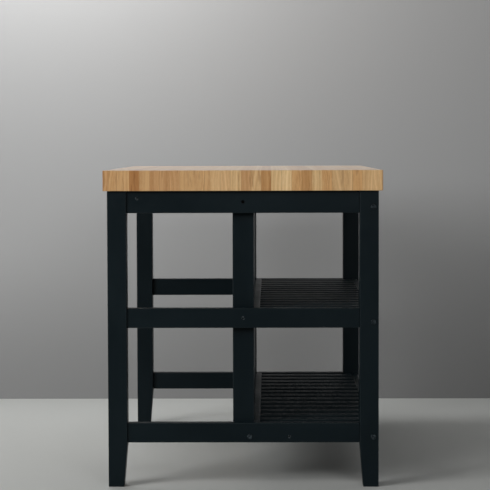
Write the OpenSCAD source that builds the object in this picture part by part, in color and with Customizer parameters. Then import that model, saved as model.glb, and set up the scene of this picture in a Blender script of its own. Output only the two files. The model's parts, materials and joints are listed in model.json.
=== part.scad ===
// Butcher block table: a thick laminated worktop on an open painted frame.
// A divider runs down the middle. One long side is an open knee space, and the
// other holds two slatted shelves.
// X is across the table, Y along it and Z up. The origin is on the floor, under
// the middle of the worktop. The front end is the -Y end, and the shelves are on +X.

/* [Worktop] */
// Width of the worktop, across the table
top_width = 790; // [740:5:850]
// Length of the worktop, along the table
top_length = 1260; // [1200:10:1400]
// Thickness of the worktop
top_thickness = 58; // [40:1:70]
// Height of the work surface above the floor
table_height = 900; // [860:5:950]
// Overhang of the worktop past the legs, all round
overhang = 11; // [5:1:30]

/* [Legs] */
// Side of the square leg
leg = 54; // [50:1:60]
// Side of the square foot at the floor
foot = 44; // [36:1:50]

/* [Rails] */
// Height of the top end rails and of the top long rails beside them
top_rail_height = 63; // [58:1:70]
// Height of the rails at both shelves
shelf_rail_height = 56; // [50:1:60]
// Thickness of the end rails
end_rail_thickness = 32; // [30:1:36]
// Thickness of the long rails between the shelf side's legs
side_rail_thickness = 18; // [16:1:22]
// Distance from the legs' outer faces to the rails' outer faces
setback = 6; // [3:1:8]
// Gap between the knee side's stretcher and the legs beside it
stretcher_gap = 16; // [6:1:40]
// Width of the knee side's stretcher
stretcher_width = 30; // [24:1:36]
// Height of the knee side's stretcher
stretcher_height = 42; // [40:1:50]

/* [Divider] */
// Width of the upright in the middle of each end
upright_width = 60; // [58:1:70]
// Depth of that upright, behind the end rails
upright_depth = 40; // [38:1:50]
// Width of the divider's long rails
divider_rail_width = 60; // [54:1:70]
// Distance from the middle of the table to the middle of the divider's rails
divider_offset = 17.5; // [15:0.5:18]
// Thickness of the divider's panels
panel_thickness = 18; // [12:1:20]
// Depth of the grooves that hold the panels
groove_depth = 8; // [5:1:8]

/* [Shelves] */
// Height of the upper shelf's surface
upper_shelf_height = 509; // [480:1:540]
// Height of the lower shelf's surface
lower_shelf_height = 182; // [170:1:220]
// Number of slats in each shelf
slat_count = 13; // [11:1:14]
// Width of a slat
slat_width = 50; // [40:1:55]
// Thickness of a slat
slat_thickness = 18; // [15:1:20]
// Side of the square cleat under the slats' ends
cleat_size = 20; // [18:1:22]
// Width of the bearer under the middle of the lower shelf's slats
bearer_width = 18; // [16:1:24]
// Distance from the middle of the table to that bearer
bearer_offset = 130; // [100:1:200]

/* [Fasteners] */
// Diameter of a connector bolt
bolt_diameter = 6; // [6:1:6]
// Length of a connector bolt under its head
bolt_length = 95; // [92:1:96]
// Diameter of a connector bolt's head
bolt_head_diameter = 16; // [14:1:17]
// Thickness of that head
bolt_head_thickness = 2.2; // [1.8:0.1:2.6]
// Width across the flats of the socket in that head
bolt_socket = 4; // [3:0.5:4.5]
// Height of a bolt's axis above the lower edge of its rail
bolt_rise = 17; // [16:1:19]
// Diameter of a barrel nut
barrel_nut_diameter = 10; // [9:0.5:10]
// Length of a barrel nut
barrel_nut_length = 14; // [12:1:15]
// Diameter of a dowel
dowel_diameter = 10; // [8:1:10]
// Length of a dowel
dowel_length = 40; // [30:1:40]
// Diameter of a frame screw and of a worktop screw
long_screw_diameter = 5; // [4:0.5:5]
// Length of a frame screw and of a worktop screw
long_screw_length = 60; // [55:1:60]
// Diameter of a shelf screw
short_screw_diameter = 4; // [3.5:0.5:4]
// Length of a shelf screw
short_screw_length = 30; // [28:1:32]

/* [Hidden] */
$fn = 32;
paint = "#14191c";
oak = "#b8925f";
birch = "#d9c49a";
zinc = "silver";
black_steel = "#2b2e30";

// The frame's overall sizes, and the faces that the rails meet
frame_height = table_height - top_thickness;
frame_x = top_width / 2 - overhang;
frame_y = top_length / 2 - overhang;
leg_inner_x = frame_x - leg;
leg_inner_y = frame_y - leg;
rail_front_y = frame_y - setback;
rail_back_y = rail_front_y - end_rail_thickness;
rail_mid_y = rail_back_y + end_rail_thickness / 2;
upright_back_y = rail_back_y - upright_depth;
upright_x = upright_width / 2;
side_rail_x = frame_x - setback - side_rail_thickness / 2;
stretcher_x = stretcher_gap + stretcher_width / 2 - leg_inner_x;

// Lower edges of the rails, each with its height
top_level = [frame_height - top_rail_height, top_rail_height];
upper_level = [upper_shelf_height - shelf_rail_height, shelf_rail_height];
lower_level = [lower_shelf_height - shelf_rail_height, shelf_rail_height];
end_levels = [top_level, upper_level, lower_level];

// Divider: the faces of its rails and of its panels
divider_low_x = divider_offset - divider_rail_width / 2;
divider_high_x = divider_offset + divider_rail_width / 2;
panel_low_x = divider_offset - panel_thickness / 2;
panel_high_x = divider_offset + panel_thickness / 2;

// Shelves: the space that the slats span, and their spacing along it
slat_low_x = divider_high_x;
slat_high_x = side_rail_x - side_rail_thickness / 2;
slat_gap = (2 * rail_back_y - slat_count * slat_width) / (slat_count + 1);
slat_pitch = slat_width + slat_gap;
function slat_y(i) = (i - (slat_count + 1) / 2) * slat_pitch;
cleat_mid_x = [slat_low_x + cleat_size / 2, slat_high_x - cleat_size / 2];
// Each cleat is screwed to its rail in the gaps after these slats
third = round(slat_count / 3);
cleat_screw_gaps = [1, third, slat_count - third, slat_count - 1];

// Fasteners: clearances, and the distance from a bolt's head to its barrel nut
hole_play = 1;
nut_distance = bolt_length - 10;
nut_bore_play = 0.2;
bolt_hole_depth = bolt_length + 4;
screw_head_ratio = 2;
screw_cone_ratio = 0.55;
counterbore = screw_head_ratio * long_screw_diameter + 1;
dowel_spread = 29;
// Where bolts enter each end: [x, lower edge of the rail, y of the face under the head]
leg_bolts = [for (level = end_levels) [side_rail_x, level[0], frame_y]];
divider_bolt = [divider_offset, lower_level[0], rail_front_y];
all_bolts = concat(leg_bolts, [divider_bolt]);
// Screws through the end rails: [x, z, how far the head is sunk]
stretcher_z = frame_height - stretcher_height / 2;
upright_screws = [
    [0, top_level[0] + top_rail_height / 2, 8],
    [0, upper_level[0] + shelf_rail_height / 2, 0]
];
bearer_screw = [bearer_offset, lower_level[0] + bolt_rise, 0];
stretcher_screw = [stretcher_x, stretcher_z, 0];
// Screws up into the worktop: [x, y] for half of them, repeated at the other end
worktop_screw_rise = 36;
end_screw_x = 190;
long_screw_y = 270;
divider_screw_x = (panel_high_x + divider_high_x) / 2;
worktop_screw_places = [
    [-end_screw_x, rail_mid_y], [end_screw_x, rail_mid_y], [side_rail_x, long_screw_y],
    [stretcher_x, long_screw_y], [divider_screw_x, long_screw_y]
];
// Dowels that join the divider's rails to the uprights: [x, z]
divider_dowel_places = concat(
    [for (level = [top_level, upper_level], s = [-1, 1])
        [0, level[0] + level[1] / 2 + s * dowel_spread / 2]],
    [[divider_low_x + dowel_diameter, lower_level[0] + shelf_rail_height / 2]]
);

SLATS = [for (i = [1 : slat_count]) i];

// ---- Helpers ----

// A box between two corners
module block(low, high) {
    translate(low) cube(high - low);
}

// Children modelled at the front end, or mirrored to the back end
module at_end(back) {
    mirror([0, back ? 1 : 0, 0]) children();
}

module at_both_ends() {
    for (back = [false, true]) at_end(back) children();
}

// Cylinders along +X, +Y and +Z from a point
module rod_x(from, length, diameter) {
    translate(from) rotate([0, 90, 0]) cylinder(h = length, d = diameter);
}

module rod_y(from, length, diameter) {
    translate(from) rotate([-90, 0, 0]) cylinder(h = length, d = diameter);
}

module rod_z(from, length, diameter) {
    translate(from) cylinder(h = length, d = diameter);
}

// Countersunk screw along +Z, with the top of its head at z = 0
module screw(diameter, length) {
    head = screw_head_ratio * diameter;
    cone = screw_cone_ratio * diameter;
    cylinder(h = cone, d1 = head, d2 = diameter);
    translate([0, 0, cone]) cylinder(h = length - cone, d = diameter);
}

module long_screw() {
    screw(long_screw_diameter, long_screw_length);
}

module short_screw() {
    screw(short_screw_diameter, short_screw_length);
}

// ---- Fasteners, as they sit in the front end ----

// Head of a connector bolt, from its bevelled top down to z = 0
module bolt_head() {
    half = bolt_head_thickness / 2;
    translate([0, 0, -2 * half]) cylinder(h = half, d1 = bolt_head_diameter - 2, d2 = bolt_head_diameter);
    translate([0, 0, -half]) cylinder(h = half, d = bolt_head_diameter);
}

// Connector bolt along +Y, with its head against the end's face
module bolt(place) {
    socket_depth = 3;
    translate([place[0], -place[2], place[1] + bolt_rise]) rotate([-90, 0, 0]) difference() {
        union() {
            bolt_head();
            cylinder(h = bolt_length, d = bolt_diameter);
        }
        translate([0, 0, -bolt_head_thickness - 1])
            cylinder(h = socket_depth + 1, d = bolt_socket / cos(30), $fn = 6);
    }
}

// Bore for a connector bolt, and the blind hole from below for its barrel nut
module bolt_hole(place) {
    rod_y([place[0], -place[2] - 1, place[1] + bolt_rise], bolt_hole_depth + 1, bolt_diameter + hole_play);
}

module barrel_nut_hole(place) {
    depth = bolt_rise + barrel_nut_length / 2;
    rod_z([place[0], nut_distance - place[2], place[1] - 1], depth + 1, barrel_nut_diameter);
}

module barrel_nut(place) {
    z = place[1] + bolt_rise;
    y = nut_distance - place[2];
    difference() {
        rod_z([place[0], y, z - barrel_nut_length / 2], barrel_nut_length, barrel_nut_diameter);
        rod_y([place[0], y - barrel_nut_diameter, z], 2 * barrel_nut_diameter,
            bolt_diameter + nut_bore_play);
    }
}

// Frame screw through an end rail, with the hole above a sunk head
module frame_screw(place) {
    translate([place[0], place[2] - rail_front_y, place[1]]) rotate([-90, 0, 0]) long_screw();
}

module frame_screw_hole(place) {
    frame_screw(place);
    rod_y([place[0], -rail_front_y - 1, place[1]], place[2] + 1, screw_head_ratio * long_screw_diameter);
}

// Screw up into the worktop, with the counterbore below its head
module worktop_screw(place) {
    translate([place[0], -place[1], frame_height - worktop_screw_rise]) long_screw();
}

module worktop_screw_hole(place) {
    worktop_screw(place);
    bore_height = top_rail_height;
    rod_z([place[0], -place[1], frame_height - worktop_screw_rise - bore_height], bore_height, counterbore);
}

module worktop_screw_set() {
    at_both_ends() for (place = worktop_screw_places) worktop_screw(place);
}

module worktop_screw_holes() {
    at_both_ends() for (place = worktop_screw_places) worktop_screw_hole(place);
}

// Dowels between one end rail and its two legs
module end_dowels(level) {
    for (side = [-1, 1], s = [-1, 1]) {
        z = level[0] + level[1] / 2 + s * dowel_spread / 2;
        rod_x([side * leg_inner_x - dowel_length / 2, -rail_mid_y, z], dowel_length, dowel_diameter);
    }
}

module divider_dowels() {
    for (place = divider_dowel_places)
        rod_y([place[0], -upright_back_y - dowel_length / 2, place[1]], dowel_length, dowel_diameter);
}

// Screws of one shelf whose surface is at height z: up through the cleats into
// the slats, and sideways through the cleats into the rails
module shelf_screw_set(z) {
    base = z - slat_thickness - cleat_size;
    mid = base + cleat_size / 2;
    for (i = SLATS, x = cleat_mid_x) translate([x, slat_y(i), base]) short_screw();
    for (i = cleat_screw_gaps) {
        y = slat_y(i) + slat_pitch / 2;
        translate([slat_low_x + cleat_size, y, mid]) rotate([0, -90, 0]) short_screw();
        translate([slat_high_x - cleat_size, y, mid]) rotate([0, 90, 0]) short_screw();
    }
}

// ---- Worktop ----

module worktop() {
    color(oak) difference() {
        block([-top_width / 2, -top_length / 2, frame_height],
            [top_width / 2, top_length / 2, table_height]);
        worktop_screw_set();
    }
}

// ---- Legs and end rails ----

// The leg's outline from its outer face inwards: the inner face tapers to the foot
module leg_outline() {
    polygon([[0, 0], [foot, 0], [leg, lower_level[0]], [leg, frame_height], [0, frame_height]]);
}

// Leg at the front left corner, or at the front right with its bolt holes
module front_leg(right) {
    color(paint) difference() {
        mirror([right ? 1 : 0, 0, 0]) translate([-frame_x, -frame_y, 0]) intersection() {
            translate([0, leg, 0]) rotate([90, 0, 0]) linear_extrude(leg) leg_outline();
            rotate([90, 0, 90]) linear_extrude(leg) leg_outline();
        }
        for (level = end_levels) end_dowels(level);
        if (right) for (place = leg_bolts) bolt_hole(place);
    }
}

module table_leg(right, back) {
    at_end(back) front_leg(right);
}

module end_rail(level, back) {
    color(paint) at_end(back) difference() {
        block([-leg_inner_x, -rail_front_y, level[0]], [leg_inner_x, -rail_back_y, level[0] + level[1]]);
        end_dowels(level);
        bolt_hole(divider_bolt);
        for (place = concat(upright_screws, [bearer_screw, stretcher_screw])) frame_screw_hole(place);
        if (level == top_level) worktop_screw_holes();
    }
}

// ---- Divider ----

// Panel that fills the opening between two heights, with its edges in the grooves
module divider_panel(low_z, high_z) {
    y = upright_back_y + groove_depth;
    block([panel_low_x, -y, low_z - groove_depth], [panel_high_x, y, high_z + groove_depth]);
}

module upper_divider_panel() {
    color(paint) divider_panel(upper_shelf_height, top_level[0]);
}

module lower_divider_panel() {
    color(paint) divider_panel(lower_shelf_height, upper_level[0]);
}

module panel_grooves() {
    upper_divider_panel();
    lower_divider_panel();
}

module upright(back) {
    color(paint) at_end(back) difference() {
        block([-upright_x, -rail_back_y, lower_level[0]], [upright_x, -upright_back_y, frame_height]);
        panel_grooves();
        divider_dowels();
        bolt_hole(divider_bolt);
        for (place = upright_screws) frame_screw(place);
    }
}

// Long rail of the divider, whose ends are notched round the uprights
module divider_rail(level) {
    color(paint) difference() {
        block([divider_low_x, -rail_back_y, level[0]], [divider_high_x, rail_back_y, level[0] + level[1]]);
        at_both_ends() {
            block([divider_low_x - 1, -rail_back_y - 1, level[0] - 1],
                [upright_x, -upright_back_y, level[0] + level[1] + 1]);
            divider_dowels();
            if (level == lower_level) {
                bolt_hole(divider_bolt);
                barrel_nut_hole(divider_bolt);
            }
        }
        panel_grooves();
        if (level == top_level) worktop_screw_holes();
        if (level == upper_level) shelf_screw_set(upper_shelf_height);
        if (level == lower_level) shelf_screw_set(lower_shelf_height);
    }
}

// ---- Long rails of the two sides ----

module side_rail(level) {
    half = side_rail_thickness / 2;
    color(paint) difference() {
        block([side_rail_x - half, -leg_inner_y, level[0]],
            [side_rail_x + half, leg_inner_y, level[0] + level[1]]);
        at_both_ends() for (place = leg_bolts) if (place[1] == level[0]) {
            bolt_hole(place);
            barrel_nut_hole(place);
        }
        if (level == top_level) worktop_screw_holes();
        if (level == upper_level) shelf_screw_set(upper_shelf_height);
        if (level == lower_level) shelf_screw_set(lower_shelf_height);
    }
}

module knee_side_stretcher() {
    half = stretcher_width / 2;
    color(paint) difference() {
        block([stretcher_x - half, -rail_back_y, frame_height - stretcher_height],
            [stretcher_x + half, rail_back_y, frame_height]);
        at_both_ends() frame_screw(stretcher_screw);
        worktop_screw_holes();
    }
}

// ---- Shelves ----

module lower_shelf_bearer() {
    half = bearer_width / 2;
    color(paint) difference() {
        block([bearer_offset - half, -rail_back_y, lower_level[0]],
            [bearer_offset + half, rail_back_y, lower_shelf_height - slat_thickness]);
        at_both_ends() frame_screw(bearer_screw);
    }
}

// Cleat under the slats' inner or outer ends, for the shelf at height z. The
// inner one meets the end rails, and the outer one meets the legs.
module cleat(outer, z) {
    x = cleat_mid_x[outer ? 1 : 0];
    half = cleat_size / 2;
    y = outer ? leg_inner_y : rail_back_y;
    color(paint) difference() {
        block([x - half, -y, z - slat_thickness - cleat_size], [x + half, y, z - slat_thickness]);
        shelf_screw_set(z);
    }
}

module slat(i, z) {
    y = slat_y(i);
    color(paint) difference() {
        block([slat_low_x, y - slat_width / 2, z - slat_thickness], [slat_high_x, y + slat_width / 2, z]);
        shelf_screw_set(z);
    }
}

// ---- Groups of like fasteners ----

module connector_bolts() {
    color(black_steel) at_both_ends() for (place = all_bolts) bolt(place);
}

module barrel_nuts() {
    color(zinc) at_both_ends() for (place = all_bolts) barrel_nut(place);
}

module dowels() {
    color(birch) at_both_ends() {
        for (level = end_levels) end_dowels(level);
        divider_dowels();
    }
}

module frame_screws() {
    color(black_steel) at_both_ends()
        for (place = concat(upright_screws, [bearer_screw, stretcher_screw])) frame_screw(place);
}

module worktop_screws() {
    color(zinc) worktop_screw_set();
}

module shelf_screws() {
    color(zinc) {
        shelf_screw_set(upper_shelf_height);
        shelf_screw_set(lower_shelf_height);
    }
}

// ---- What is drawn ----

worktop();
table_leg(false, false);  // leg_front_left
table_leg(true, false);  // leg_front_right
table_leg(false, true);  // leg_back_left
table_leg(true, true);  // leg_back_right
end_rail(top_level, false);  // front_top_rail
end_rail(upper_level, false);  // front_middle_rail
end_rail(lower_level, false);  // front_bottom_rail
end_rail(top_level, true);  // back_top_rail
end_rail(upper_level, true);  // back_middle_rail
end_rail(lower_level, true);  // back_bottom_rail
upright(false);  // front_upright
upright(true);  // back_upright
divider_rail(top_level);  // divider_top_rail
divider_rail(upper_level);  // divider_middle_rail
divider_rail(lower_level);  // divider_bottom_rail
upper_divider_panel();
lower_divider_panel();
side_rail(top_level);  // side_top_rail
side_rail(upper_level);  // side_middle_rail
side_rail(lower_level);  // side_bottom_rail
knee_side_stretcher();
lower_shelf_bearer();
cleat(false, upper_shelf_height);  // upper_inner_cleat
cleat(true, upper_shelf_height);  // upper_outer_cleat
cleat(false, lower_shelf_height);  // lower_inner_cleat
cleat(true, lower_shelf_height);  // lower_outer_cleat
for (i = SLATS) slat(i, upper_shelf_height);
for (i = SLATS) slat(i, lower_shelf_height);
connector_bolts();
barrel_nuts();
dowels();
frame_screws();
worktop_screws();
shelf_screws();
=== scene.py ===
"""Looks of the butcher block table: a laminated worktop on a blue-black painted frame.

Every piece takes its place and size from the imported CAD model. Lengths are in metres.
"""

import json
import math
import random

import bmesh
import bpy
from mathutils import Matrix, Vector


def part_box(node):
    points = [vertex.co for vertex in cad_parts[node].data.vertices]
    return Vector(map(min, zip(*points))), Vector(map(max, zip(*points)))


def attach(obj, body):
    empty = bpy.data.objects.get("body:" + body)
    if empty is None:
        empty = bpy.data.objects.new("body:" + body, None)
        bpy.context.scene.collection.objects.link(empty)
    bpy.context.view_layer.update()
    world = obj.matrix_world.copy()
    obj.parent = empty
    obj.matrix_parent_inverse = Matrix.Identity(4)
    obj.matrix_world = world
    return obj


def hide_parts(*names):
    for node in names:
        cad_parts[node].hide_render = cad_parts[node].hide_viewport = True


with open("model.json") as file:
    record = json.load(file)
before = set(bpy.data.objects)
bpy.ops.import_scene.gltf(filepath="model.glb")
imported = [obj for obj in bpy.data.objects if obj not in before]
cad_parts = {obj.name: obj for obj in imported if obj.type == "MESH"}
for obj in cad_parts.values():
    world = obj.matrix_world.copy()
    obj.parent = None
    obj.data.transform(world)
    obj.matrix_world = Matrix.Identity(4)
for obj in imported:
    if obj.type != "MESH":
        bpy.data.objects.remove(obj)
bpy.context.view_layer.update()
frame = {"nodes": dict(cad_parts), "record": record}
NODES = frame["nodes"]
MM = 0.001
# Two places closer than this are the same place
NEAR = 1e-6


# ---- Node helpers ----

class Shader:
    """A material's node tree, with short calls that each add a node and return an output."""

    def __init__(self, name):
        self.material = bpy.data.materials.new(name)
        self.material.use_nodes = True
        self.tree = self.material.node_tree
        self.surface = self.tree.nodes["Principled BSDF"]

    def node(self, kind, **settings):
        made = self.tree.nodes.new(kind)
        for key, value in settings.items():
            setattr(made, key, value)
        return made

    def put(self, socket, value):
        """Links a socket to another node's output, or sets its value."""
        if isinstance(value, bpy.types.NodeSocket):
            self.tree.links.new(value, socket)
        else:
            socket.default_value = value

    def math(self, operation, a, b=0.0):
        made = self.node("ShaderNodeMath", operation=operation)
        self.put(made.inputs[0], a)
        self.put(made.inputs[1], b)
        return made.outputs[0]

    def vector(self, operation, a, b=(0.0, 0.0, 0.0)):
        made = self.node("ShaderNodeVectorMath", operation=operation)
        self.put(made.inputs[0], a)
        self.put(made.inputs[1], b)
        return made.outputs["Value" if operation == "LENGTH" else "Vector"]

    def attribute(self, name, output="Vector"):
        """A value that the mesh holds at each vertex."""
        made = self.node("ShaderNodeAttribute", attribute_name=name)
        return made.outputs[output]

    def place(self):
        """A point's place on its own object."""
        return self.node("ShaderNodeTexCoord").outputs["Object"]

    def split(self, vector):
        made = self.node("ShaderNodeSeparateXYZ")
        self.put(made.inputs[0], vector)
        return made.outputs

    def join(self, x, y, z):
        made = self.node("ShaderNodeCombineXYZ")
        for socket, value in zip(made.inputs, (x, y, z)):
            self.put(socket, value)
        return made.outputs[0]

    def noise(self, vector, scale, detail, roughness):
        """Noise from 0 to 1. Its scale is one number, or one for each direction."""
        made = self.node("ShaderNodeTexNoise")
        if isinstance(scale, tuple):
            vector = self.vector("MULTIPLY", vector, scale)
            scale = 1.0
        self.put(made.inputs["Vector"], vector)
        made.inputs["Scale"].default_value = scale
        made.inputs["Detail"].default_value = detail
        made.inputs["Roughness"].default_value = roughness
        return made.outputs["Fac"]

    def cells(self, vector, scale):
        """How far a point is from the nearest of many scattered centres."""
        made = self.node("ShaderNodeTexVoronoi")
        self.put(made.inputs["Vector"], self.vector("MULTIPLY", vector, scale))
        made.inputs["Scale"].default_value = 1.0
        return made.outputs["Distance"]

    def ramp(self, value, low, high, to_low=0.0, to_high=1.0):
        """A smooth step from to_low to to_high, as the value goes from low to high."""
        made = self.node("ShaderNodeMapRange", interpolation_type="SMOOTHSTEP")
        for socket, given in zip(made.inputs, (value, low, high, to_low, to_high)):
            self.put(socket, given)
        return made.outputs[0]

    def mix(self, share, a, b, blend="MIX"):
        """Colour a, with a share of colour b over it."""
        made = self.node("ShaderNodeMix", data_type="RGBA", blend_type=blend)
        self.put(made.inputs["Factor"], share)
        self.put(made.inputs["A"], colour(a))
        self.put(made.inputs["B"], colour(b))
        return made.outputs["Result"]

    def bump(self, height, distance, strength, normal=None):
        made = self.node("ShaderNodeBump")
        made.inputs["Strength"].default_value = strength
        made.inputs["Distance"].default_value = distance
        self.put(made.inputs["Height"], height)
        if normal is not None:
            self.put(made.inputs["Normal"], normal)
        return made.outputs[0]

    def depth(self):
        """How far a point is from its box's nearer face, along x, y and z."""
        low = self.attribute("from_low")
        high = self.attribute("from_high")
        return self.split(self.vector("MINIMUM", low, high))

    def edge_distance(self):
        """How far a point on a piece's surface is from the nearest edge of its box."""
        x, y, z = self.depth()
        smaller = self.math("MINIMUM", x, y)
        larger = self.math("MAXIMUM", x, y)
        return self.math("MAXIMUM", smaller, self.math("MINIMUM", larger, z))

    def corner_distance(self):
        """How far a point on a piece's surface is from the nearest upright edge of its box."""
        x, y, _ = self.depth()
        return self.math("MAXIMUM", x, y)

    def finish(self, **inputs):
        """Sets the shader's own sockets and gives the finished material."""
        for name, value in inputs.items():
            self.put(self.surface.inputs[name.replace("_", " ")], value)
        return self.material


def colour(value):
    """An RGBA for a colour of three numbers; sockets pass through."""
    if isinstance(value, tuple) and len(value) == 3:
        return (*value, 1.0)
    return value


# ---- Materials ----

PAINT = (0.0030, 0.0072, 0.0095)
PAINT_FADED = (0.0040, 0.0091, 0.0118)
# Lighter paint at the edges: partly wear from rubbing, partly a painted highlight where rounded
# edges catch the light
PAINT_RUBBED_HIGHLIGHT = (0.0150, 0.0215, 0.0245)


def painted_wood(name, smooth, coarse):
    """Blue-black paint on wood, smooth in places and coarser in others, with lighter edges:
    partly wear from rubbing, partly a painted highlight along the rounded edges.
    """
    s = Shader(name)
    grain = s.attribute("grain")
    fibres = s.noise(grain, (14.0, 620.0, 620.0), 4.0, 0.62)
    brush = s.noise(grain, (5.0, 210.0, 210.0), 2.0, 0.5)
    peel = s.noise(grain, 520.0, 1.0, 0.5)
    clouds = s.noise(grain, (3.6, 9.6, 9.6), 3.0, 0.55)
    handling = s.noise(grain, 55.0, 4.0, 0.7)
    ragged = s.math("MULTIPLY", s.math("SUBTRACT", handling, 0.5), 5.0 * MM)
    ragged = s.math("ADD", s.edge_distance(), ragged)
    # Edge mask for the wear from rubbing and the painted edge highlight
    rubbed_highlight = s.ramp(ragged, 0.4 * MM, 3.4 * MM, 1.0, 0.0)
    base = s.mix(s.ramp(clouds, 0.3, 0.7), PAINT, PAINT_FADED)
    base = s.mix(s.math("MULTIPLY", rubbed_highlight, 0.55), base, PAINT_RUBBED_HIGHLIGHT)
    rough = s.ramp(clouds, 0.25, 0.75, smooth, coarse)
    rough = s.math("ADD", rough, s.ramp(handling, 0.3, 0.8, -0.03, 0.06))
    rough = s.math("SUBTRACT", rough, s.math("MULTIPLY", rubbed_highlight, 0.05))
    normal = s.bump(fibres, 0.16 * MM, 0.6)
    normal = s.bump(brush, 0.14 * MM, 0.4, normal)
    normal = s.bump(peel, 0.02 * MM, 0.5, normal)
    return s.finish(Base_Color=base, Roughness=rough, Normal=normal, Specular_IOR_Level=0.12)


# How little a stave's growth rings change along it, against across it
LENGTHWISE = 0.02
# How far apart the growth rings are
YEAR = 3.6 * MM
WOOD = {
    "pale": (0.808, 0.526, 0.260),
    "brown": (0.646, 0.382, 0.168),
    "swathe": (0.484, 0.252, 0.098),
    "late": (0.350, 0.175, 0.065),
    "streak": (0.720, 0.485, 0.250),
    "mineral": (0.300, 0.140, 0.050),
    "fibre": (0.380, 0.210, 0.085),
    "pore": (0.120, 0.060, 0.028),
    "glue": (0.240, 0.130, 0.055),
    # Painted shade on the rounded upright corners of the block
    "corner": (0.330, 0.160, 0.065),
    # Darker edges: partly handling wear, partly painted shade on the rounded edges
    "worn": (0.430, 0.250, 0.110),
}


def ring_radius(s, grain):
    """How far a point is from its stave's pith line, with growth's small wanderings."""
    along, across, up = s.split(grain)
    flat = s.join(s.math("MULTIPLY", along, LENGTHWISE), across, up)
    wander = s.noise(grain, (2.5, 22.0, 22.0), 2.0, 0.5)
    waver = s.noise(grain, (14.0, 110.0, 110.0), 2.0, 0.5)
    radius = s.vector("LENGTH", s.vector("SUBTRACT", flat, s.attribute("pith")))
    radius = s.math("ADD", radius, s.math("MULTIPLY", wander, 2.6 * MM))
    return s.math("ADD", radius, s.math("MULTIPLY", waver, 0.6 * MM))


def ring_noise(s, radius, scale, detail, roughness):
    """Noise that is the same all round a growth ring."""
    scaled = s.join(s.math("MULTIPLY", radius, scale), 0.0, 0.0)
    return s.noise(scaled, 1.0, detail, roughness)


def stave_edges(s, wood):
    """Darkens the wood at the glue lines, paints shade along the block's upright corners, and
    darkens its edges, partly as wear and partly as painted shade.
    """
    left, right, _ = s.split(s.attribute("cuts"))
    glue = s.ramp(s.math("MINIMUM", left, right), 0.1 * MM, 0.5 * MM, 0.45, 0.0)
    wood = s.mix(glue, wood, WOOD["glue"])
    # Painted shade along the upright corners, where the rounded edges turn from the light
    corner = s.ramp(s.corner_distance(), 1.5 * MM, 4.5 * MM, 0.55, 0.0)
    wood = s.mix(corner, wood, WOOD["corner"])
    # Edges darkened, partly as wear and partly as painted shade
    worn = s.ramp(s.edge_distance(), 0.4 * MM, 2.0 * MM, 0.20, 0.0)
    return s.mix(worn, wood, WOOD["worn"])


def block_wood():
    """Oiled hardwood staves. Growth rings run round each stave's own pith line."""
    s = Shader("butcher_block")
    grain = s.attribute("grain")
    radius = ring_radius(s, grain)
    year = s.math("FRACT", s.math("DIVIDE", radius, YEAR))
    late = s.math("MULTIPLY", s.ramp(year, 0.30, 0.92), s.ramp(year, 0.93, 1.0, 1.0, 0.0))
    bands = ring_noise(s, radius, 170.0, 3.0, 0.6)
    swathes = ring_noise(s, radius, 60.0, 2.0, 0.5)
    fibres = s.noise(grain, (22.0, 1500.0, 1500.0), 4.0, 0.6)
    streaks = s.noise(grain, (5.0, 170.0, 60.0), 3.0, 0.55)
    minerals = s.noise(grain, (1.5, 110.0, 12.0), 2.0, 0.5)
    pores = s.cells(grain, (45.0, 2100.0, 2100.0))
    pore = s.math("MULTIPLY", s.ramp(pores, 0.30, 0.12), s.ramp(year, 0.34, 0.05))
    wood = s.mix(s.ramp(bands, 0.36, 0.64), WOOD["pale"], WOOD["brown"])
    wood = s.mix(s.ramp(swathes, 0.40, 0.66, 0.0, 0.55), wood, WOOD["swathe"])
    wood = s.mix(s.math("MULTIPLY", late, 0.24), wood, WOOD["late"])
    wood = s.mix(s.ramp(streaks, 0.42, 0.72, 0.0, 0.40), wood, WOOD["streak"])
    wood = s.mix(s.ramp(minerals, 0.58, 0.68, 0.0, 0.42), wood, WOOD["mineral"])
    wood = s.mix(s.math("MULTIPLY", fibres, 0.20), wood, WOOD["fibre"])
    wood = s.mix(s.math("MULTIPLY", pore, 0.55), wood, WOOD["pore"])
    # Each stave's own tone, and painted light that lifts the right-hand staves
    wood = s.mix(1.0, wood, s.attribute("tint_and_light", "Color"), "MULTIPLY")
    wood = stave_edges(s, wood)
    rough = s.math("ADD", s.ramp(fibres, 0.2, 0.8, 0.40, 0.52), s.math("MULTIPLY", pore, 0.2))
    normal = s.bump(fibres, 0.06 * MM, 0.35)
    normal = s.bump(s.math("SUBTRACT", 0.0, pore), 0.15 * MM, 0.4, normal)
    normal = s.bump(late, 0.04 * MM, 0.35, normal)
    return s.finish(
        Base_Color=wood, Roughness=rough, Normal=normal, Specular_IOR_Level=0.45,
        Coat_Weight=0.9, Coat_Roughness=0.13, Sheen_Weight=0.32, Sheen_Roughness=0.35,
        Sheen_Tint=(1.0, 0.82, 0.66, 1.0))


def plain_wood():
    """Bare birch, for the dowels."""
    s = Shader("dowel_wood")
    place = s.place()
    streaks = s.noise(place, (40.0, 260.0, 520.0), 4.0, 0.6)
    specks = s.noise(place, 1400.0, 2.0, 0.6)
    base = s.mix(s.ramp(streaks, 0.3, 0.7), (0.62, 0.47, 0.28), (0.50, 0.35, 0.19))
    base = s.mix(s.ramp(specks, 0.55, 0.8, 0.0, 0.35), base, (0.34, 0.22, 0.11))
    rough = s.ramp(specks, 0.2, 0.8, 0.55, 0.75)
    normal = s.bump(streaks, 0.08 * MM, 0.5)
    return s.finish(Base_Color=base, Roughness=rough, Normal=normal)


SCRATCHES = (3200.0, 420.0, 900.0)


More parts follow.
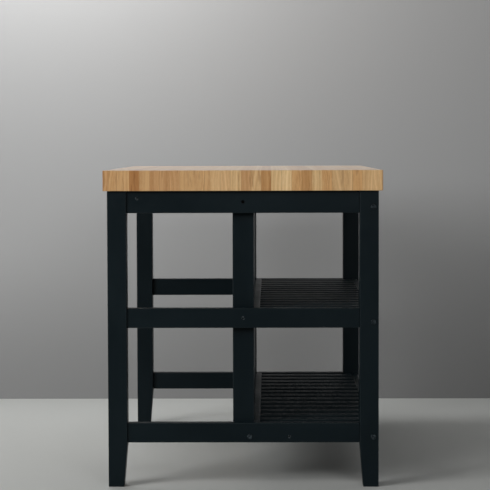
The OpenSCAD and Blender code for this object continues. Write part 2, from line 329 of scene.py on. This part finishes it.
def steel(name, dark, light, smooth, coarse):
    """Plated or blackened steel with fine scratches, between two colours and roughnesses."""
    s = Shader(name)
    place = s.place()
    clouds = s.noise(place, 260.0, 4.0, 0.6)
    scratches = s.noise(place, SCRATCHES, 3.0, 0.65)
    base = s.mix(s.ramp(clouds, 0.3, 0.7), dark, light)
    rough = s.ramp(scratches, 0.25, 0.75, smooth, coarse)
    normal = s.bump(scratches, 0.02 * MM, 0.4)
    return s.finish(Base_Color=base, Roughness=rough, Normal=normal, Metallic=1.0)


def end_screws():
    """Screws of the end rails: worn grey where a head is flush, and near black where it is
    sunk, as painted shade in its hole.
    """
    s = Shader("end_screw")
    place = s.place()
    clouds = s.noise(place, 210.0, 4.0, 0.6)
    scratches = s.noise(place, SCRATCHES, 3.0, 0.65)
    # Painted shade for heads sunk deep in their holes
    black = (0.006, 0.006, 0.006)
    _, y, _ = s.split(place)
    rail_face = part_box("back_top_rail")[1].y
    flush = s.ramp(s.math("ABSOLUTE", y), rail_face - 1.5 * MM, rail_face - 0.5 * MM)
    worn = s.mix(s.ramp(clouds, 0.44, 0.58), (0.006, 0.008, 0.009), (0.110, 0.128, 0.138))
    base = s.mix(flush, black, worn)
    rough = s.ramp(scratches, 0.25, 0.75, 0.30, 0.55)
    normal = s.bump(clouds, 0.30 * MM, 0.7)
    return s.finish(Base_Color=base, Roughness=rough, Normal=normal, Metallic=1.0)


# ---- Mesh helpers ----

# What bpy calls a vector or colour attribute's values
ATTRIBUTE_KEYS = {"FLOAT_VECTOR": "vector", "FLOAT_COLOR": "color"}
# Edges that turn by more than this stay sharp
SHARP = math.radians(36)


def store(mesh, name, values, kind="FLOAT_VECTOR"):
    """Writes one vector or colour for each vertex to a named attribute."""
    layer = mesh.attributes.new(name, kind, "POINT")
    layer.data.foreach_set(ATTRIBUTE_KEYS[kind], [x for value in values for x in value])


def store_box(mesh, low, high):
    """How far each vertex is from its piece's lowest and highest corner."""
    store(mesh, "from_low", [tuple(v.co - low) for v in mesh.vertices])
    store(mesh, "from_high", [tuple(high - v.co) for v in mesh.vertices])


def grain_place(point, axis, shift):
    """A point's place in the wood: along the grain first, then across it twice."""
    others = [i for i in range(3) if i != axis]
    return (point[axis] + shift[0], point[others[0]] + shift[1], point[others[1]] + shift[2])


def mesh_of(made, name):
    """Turns a finished bmesh into a mesh, and frees it."""
    mesh = bpy.data.meshes.new(name)
    made.to_mesh(mesh)
    made.free()
    return mesh


def add_piece(name, mesh, material, nodes):
    """Puts a finished mesh in the scene as the piece that stands for some CAD nodes."""
    piece = bpy.data.objects.new(name, mesh)
    bpy.context.scene.collection.objects.link(piece)
    mesh.materials.append(material)
    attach(piece, "root")
    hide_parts(*nodes)
    return piece


def flat_shaded_rounding(piece):
    """Flat faces stay flat and rounded edges shade smoothly."""
    weighted = piece.modifiers.new("normals", "WEIGHTED_NORMAL")
    weighted.mode = "FACE_AREA"
    weighted.weight = 90
    weighted.keep_sharp = True


def clean_copy(node):
    """A CAD node's shape as one closed mesh, without the edges inside its flat faces."""
    made = bmesh.new()
    made.from_mesh(NODES[node].data)
    bmesh.ops.remove_doubles(made, verts=made.verts, dist=0.005 * MM)
    flat = math.radians(1.0)
    bmesh.ops.dissolve_limit(made, angle_limit=flat, verts=made.verts, edges=made.edges)
    return made


def outer_edges(made):
    """Edges of the wood itself, without the rims of drilled holes."""
    shortest = 4 * MM
    least_turn = math.radians(30)
    found = []
    for edge in made.edges:
        if len(edge.link_faces) != 2 or edge.calc_length() < shortest:
            continue
        if edge.is_convex and edge.calc_face_angle() > least_turn:
            found.append(edge)
    return found


def round_over(made, edges, radius):
    """Rounds some of a mesh's edges over."""
    bmesh.ops.bevel(
        made, geom=edges, offset=radius, offset_type="OFFSET", segments=3, profile=0.5,
        affect="EDGES", clamp_overlap=True)


def shade_smooth(made):
    """Shades a mesh smoothly, and marks the edges that stay sharp."""
    for face in made.faces:
        face.smooth = True
    for edge in made.edges:
        if len(edge.link_faces) == 2:
            edge.smooth = edge.calc_face_angle() < SHARP


# ---- Painted frame ----

def long_axis(low, high):
    """The axis along which a box is longest, which is the way its grain runs."""
    size = high - low
    return max(range(3), key=lambda i: size[i])


def painted_piece(node, radius, material, draw):
    """A frame member with the CAD node's shape, eased edges and its own grain."""
    made = clean_copy(node)
    round_over(made, outer_edges(made), radius)
    bmesh.ops.dissolve_degenerate(made, dist=0.002 * MM, edges=made.edges)
    shade_smooth(made)
    mesh = mesh_of(made, node)
    low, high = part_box(node)
    axis = long_axis(low, high)
    shift = [draw.uniform(-20.0, 20.0) for _ in range(3)]
    store(mesh, "grain", [grain_place(v.co, axis, shift) for v in mesh.vertices])
    store_box(mesh, low, high)
    piece = add_piece("painted_" + node, mesh, material, [node])
    flat_shaded_rounding(piece)
    return piece


def edge_radius(node):
    """How far a member's edges are rounded over."""
    if "slat" in node:
        return 1.6 * MM
    if "cleat" in node or "bearer" in node:
        return 0.8 * MM
    if "panel" in node:
        return 0.5 * MM
    return 2.0 * MM


def build_frame():
    """All painted members, in satin paint that is a little rougher on the slats."""
    satin = painted_wood("painted_wood", 0.34, 0.42)
    duller = painted_wood("painted_slats", 0.45, 0.53)
    draw = random.Random(41)
    subparts = frame["record"]["subparts"]
    nodes = [part["node"] for part in subparts if part["material_slot"] == "painted_wood"]
    pieces = []
    for node in nodes:
        material = duller if "slat" in node else satin
        pieces.append(painted_piece(node, edge_radius(node), material, draw))
    return pieces


# ---- Worktop ----

# One letter a stave, from -X to +X, for how its wood differs in colour, with painted light that
# makes the right-hand staves lighter to make up for the light falling off to the right
STAVE_TONES_AND_LIGHT = "obbrbooohhhpgqopdqxwdqwppwpp"
TONES_AND_LIGHT = {
    "r": (0.64, 0.49, 0.37),
    "d": (0.83, 0.73, 0.63),
    "o": (0.87, 0.80, 0.77),
    "b": (0.94, 0.91, 0.89),
    "h": (1.00, 0.99, 0.99),
    "w": (1.05, 0.99, 0.92),
    "g": (1.03, 1.06, 1.12),
    "p": (1.08, 1.13, 1.19),
    "q": (1.13, 1.23, 1.31),
    "x": (1.25, 1.41, 1.57),
}
STAVES = len(STAVE_TONES_AND_LIGHT)
# The first stave's width, trimmed to fit the block's
TRIMMED = 17.7 * MM
BLOCK_EDGE = 1.2 * MM


def stave_cuts(low, high, draw):
    """Where one stave ends and the next begins, from the block's left side to its right."""
    pitch = (high.x - low.x - TRIMMED) / (STAVES - 1)
    cuts = [low.x]
    for i in range(STAVES - 1):
        cuts.append(low.x + TRIMMED + i * pitch + draw.uniform(-0.4, 0.4) * MM)
    return cuts + [high.x]


def stave_tint_and_light(tone, draw):
    """A stave's colour, as a factor on the wood's own; on the right-hand staves it also holds
    painted light.
    """
    shade = draw.gauss(1.0, 0.02)
    return tuple(shade * x for x in TONES_AND_LIGHT[tone]) + (1.0,)


def stave_box(x0, x1, low, high, draw):
    """One stave as a plain box, a hair lower and shorter than the block."""
    drop = draw.uniform(0.0, 0.12) * MM
    back = draw.uniform(0.0, 0.15) * MM
    made = bmesh.new()
    verts = []
    for x in (x0, x1):
        for y in (low.y + back, high.y - back):
            for z in (low.z, high.z - drop):
                verts.append(made.verts.new((x, y, z)))
    faces = ((0, 1, 3, 2), (4, 6, 7, 5), (0, 4, 5, 1), (2, 3, 7, 6), (0, 2, 6, 4), (1, 5, 7, 3))
    for face in faces:
        made.faces.new([verts[i] for i in face])
    bmesh.ops.recalc_face_normals(made, faces=made.faces)
    return made


def block_edges(made, low, high):
    """A stave's edges that lie on the outer edges of the whole block."""
    found = []
    for edge in made.edges:
        a, b = (v.co for v in edge.verts)
        middle = (a + b) / 2
        outside = middle.x < low.x + NEAR or middle.x > high.x - NEAR
        on_end = abs(a.y - b.y) < NEAR and abs(a.y) > 0.9 * high.y
        if outside or (on_end and abs(a.z - b.z) < NEAR):
            found.append(edge)
    return found


def add_stave(whole, x0, x1, low, high, draw):
    """Adds one stave to the block, and gives the number of its vertices."""
    made = stave_box(x0, x1, low, high, draw)
    round_over(made, block_edges(made, low, high), BLOCK_EDGE)
    mesh = mesh_of(made, "stave")
    start = len(whole.verts)
    whole.from_mesh(mesh)
    bpy.data.meshes.remove(mesh)
    return len(whole.verts) - start


def stave_wood(x0, x1, tone, draw):
    """Where one stave lay in its tree, and its colour."""
    tilt = math.radians(draw.gauss(0.0, 4.0))
    reach = draw.uniform(0.25, 0.80) * draw.choice((-1, 1))
    return {
        "cuts": (x0, x1),
        "shift": draw.uniform(-30.0, 30.0),
        "pith": (reach * math.cos(tilt), reach * math.sin(tilt)),
        "tint_and_light": stave_tint_and_light(tone, draw),
    }


def stave_values(point, wood, middle_z):
    """What the worktop's material reads at one point of a stave."""
    x0, x1 = wood["cuts"]
    shift = wood["shift"]
    pith_x, pith_z = wood["pith"]
    along = point.y + shift
    return {
        "grain": (along, point.x - (x0 + x1) / 2 + shift, point.z - middle_z + shift),
        "pith": (along * LENGTHWISE, pith_x + shift, pith_z + shift),
        "cuts": (point.x - x0, x1 - point.x, 0.0),
    }


def build_worktop():
    """The laminated block, stave by stave, as one piece."""
    material = block_wood()
    low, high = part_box("worktop")
    draw = random.Random(7)
    cuts = stave_cuts(low, high, draw)
    whole = bmesh.new()
    woods = []
    for i, tone in enumerate(STAVE_TONES_AND_LIGHT):
        x0, x1 = cuts[i:i + 2]
        count = add_stave(whole, x0, x1, low, high, draw)
        woods += [stave_wood(x0, x1, tone, draw)] * count
    shade_smooth(whole)
    mesh = mesh_of(whole, "worktop")
    middle_z = (low.z + high.z) / 2
    values = [stave_values(v.co, w, middle_z) for v, w in zip(mesh.vertices, woods)]
    for name in ("grain", "pith", "cuts"):
        store(mesh, name, [value[name] for value in values])
    store(mesh, "tint_and_light", [wood["tint_and_light"] for wood in woods], "FLOAT_COLOR")
    store_box(mesh, low, high)
    piece = add_piece("worktop_block", mesh, material, ["worktop"])
    flat_shaded_rounding(piece)
    return piece


# ---- Fasteners, which keep their CAD shape ----

def finish_fasteners():
    """Gives every fastener's CAD object its material."""
    black = steel("black_steel", (0.012, 0.016, 0.019), (0.105, 0.134, 0.152), 0.18, 0.36)
    zinc = steel("zinc_steel", (0.55, 0.56, 0.57), (0.70, 0.71, 0.72), 0.24, 0.42)
    looks = {
        "connector_bolts": black, "frame_screws": end_screws(), "barrel_nuts": zinc,
        "worktop_screws": zinc, "shelf_screws": zinc, "dowels": plain_wood()}
    for node, material in looks.items():
        for slot in NODES[node].material_slots:
            slot.material = material


# ---- Stage ----

# How far behind the table's middle the wall stands
WALL_PLACE = 1.26
WALL_SIDE = 4.5
WALL_HEIGHT = 4.5
FLOOR_SIDE = 12


def plane(name, corners, material):
    """A flat part of the stage."""
    mesh = bpy.data.meshes.new(name)
    mesh.from_pydata(corners, [], [(0, 1, 2, 3)])
    mesh.materials.append(material)
    made = bpy.data.objects.new(name, mesh)
    bpy.context.scene.collection.objects.link(made)


def floor_finish():
    """A plain pale grey."""
    s = Shader("floor")
    return s.finish(
        Base_Color=(0.575, 0.585, 0.565, 1.0), Roughness=0.6, Specular_IOR_Level=0.3)


def wall_finish():
    """A matt grey with painted shade that darkens it a little toward the floor, as in the
    photograph.
    """
    s = Shader("wall")
    _, _, z = s.split(s.place())
    # Painted shade: the wall is darker near the floor
    base = s.mix(s.ramp(z, 0.0, 0.62), (0.262, 0.262, 0.262), (0.370, 0.370, 0.370))
    return s.finish(Base_Color=base, Roughness=0.9, Specular_IOR_Level=0.3)


def one_sided(material):
    """Lets light and sight through from behind, so that the wall hides nothing."""
    tree = material.node_tree
    side = tree.nodes.new("ShaderNodeNewGeometry").outputs["Backfacing"]
    clear = tree.nodes.new("ShaderNodeBsdfTransparent").outputs[0]
    mixed = tree.nodes.new("ShaderNodeMixShader")
    tree.links.new(side, mixed.inputs[0])
    tree.links.new(tree.nodes["Principled BSDF"].outputs[0], mixed.inputs[1])
    tree.links.new(clear, mixed.inputs[2])
    tree.links.new(mixed.outputs[0], tree.nodes["Material Output"].inputs[0])
    return material


def build_stage():
    """A plain floor, and a wall behind the table."""
    side = FLOOR_SIDE
    corners = [(-side, -side, 0), (side, -side, 0), (side, side, 0), (-side, side, 0)]
    plane("floor", corners, floor_finish())
    side = WALL_SIDE
    y = WALL_PLACE
    corners = [(-side, y, 0), (side, y, 0), (side, y, WALL_HEIGHT), (-side, y, WALL_HEIGHT)]
    plane("wall", corners, one_sided(wall_finish()))


def area_light(name, place, target, size, power):
    """A rectangular lamp of so many watts that faces a target. The camera doesn't see it."""
    data = bpy.data.lights.new(name, "AREA")
    data.shape = "RECTANGLE"
    data.size, data.size_y = size
    data.energy = power
    lamp = bpy.data.objects.new(name, data)
    bpy.context.scene.collection.objects.link(lamp)
    lamp.location = place
    lamp.rotation_euler = (Vector(target) - Vector(place)).to_track_quat("-Z", "Y").to_euler()
    lamp.visible_camera = False
    return lamp


def link_light(lamp, pieces, state):
    """Makes a lamp light only some pieces, or everything but them."""
    group = bpy.data.collections.new(lamp.name)
    for piece in pieces:
        group.objects.link(piece)
    for linked in group.collection_objects:
        linked.light_linking.link_state = state
    lamp.light_linking.receiver_collection = group


def softbox(worktop, name, *settings):
    """A strong lamp, and a twin for the worktop that doesn't glare in its oiled surface."""
    lamp = area_light(name, *settings)
    link_light(lamp, [worktop], "EXCLUDE")
    twin = area_light(name + "_matt", *settings)
    link_light(twin, [worktop], "INCLUDE")
    twin.visible_glossy = False


def build_light(painted, worktop):
    """Soft light from the left and the front, with weak fills from the right and above."""
    aim = (0.0, 0.0, 0.6)
    softbox(worktop, "window", (-2.9, -2.6, 2.0), aim, (1.9, 1.6), 84)
    softbox(worktop, "window_far", (-4.5, -5.0, 2.2), aim, (2.2, 1.4), 22)
    softbox(worktop, "fill_left", (-1.5, -5.5, 2.6), aim, (2.2, 1.4), 22)
    softbox(worktop, "fill_right", (1.5, -5.5, 2.6), aim, (2.2, 1.4), 50)
    softbox(worktop, "side_fill", (3.6, 0.9, 1.6), (0.3, 0.0, 0.4), (1.5, 1.2), 9)
    shelf_fill = area_light("shelf_fill", (3.2, -0.2, 1.2), (0.2, 0.0, 0.45), (1.8, 1.2), 45)
    link_light(shelf_fill, painted, "INCLUDE")
    area_light("ceiling", (0.0, 0.0, 4.2), (0.0, 0.0, 0.0), (1.6, 1.6), 6)
    y = WALL_PLACE
    wash = area_light("wall_wash", (-0.80, 0.5, 2.5), (-0.52, y, 1.95), (0.9, 0.7), 30)
    glow = area_light("wall_glow", (-1.5, 0.6, 2.0), (-1.1, y, 1.3), (0.9, 0.7), 3)
    wash.visible_glossy = False
    glow.visible_glossy = False


def build_world():
    """A weak grey light from all round, and plain display colours."""
    world = bpy.data.worlds.new("room")
    bpy.context.scene.world = world
    world.use_nodes = True
    background = world.node_tree.nodes["Background"]
    background.inputs["Color"].default_value = (0.50, 0.51, 0.52, 1.0)
    background.inputs["Strength"].default_value = 0.06
    bpy.context.scene.view_settings.view_transform = "Standard"


CAMERA_PLACE = (0.0732, -5.9157, 0.9645)
# Radians to the left, downward and clockwise
CAMERA_TURN = (0.0127, 0.0520, 0.0028)
CAMERA_LENS = 137.94
CAMERA_SENSOR = 36.0


def build_camera():
    """The camera that the photograph's straight edges lead to."""
    data = bpy.data.cameras.new("camera")
    data.sensor_width = CAMERA_SENSOR
    data.lens = CAMERA_LENS
    yaw, pitch, roll = CAMERA_TURN
    forward = Vector((
        -math.sin(yaw) * math.cos(pitch), math.cos(yaw) * math.cos(pitch), -math.sin(pitch)))
    level = Vector((math.cos(yaw), math.sin(yaw), 0.0))
    right = level * math.cos(roll) + forward.cross(level) * math.sin(roll)
    up = right.cross(forward)
    camera = bpy.data.objects.new("camera", data)
    bpy.context.scene.collection.objects.link(camera)
    axes = Matrix((right, up, -forward)).transposed()
    camera.matrix_world = Matrix.Translation(CAMERA_PLACE) @ axes.to_4x4()
    bpy.context.scene.camera = camera


build_camera()
painted = build_frame()
worktop = build_worktop()
finish_fasteners()
build_stage()
build_light(painted, worktop)
build_world()
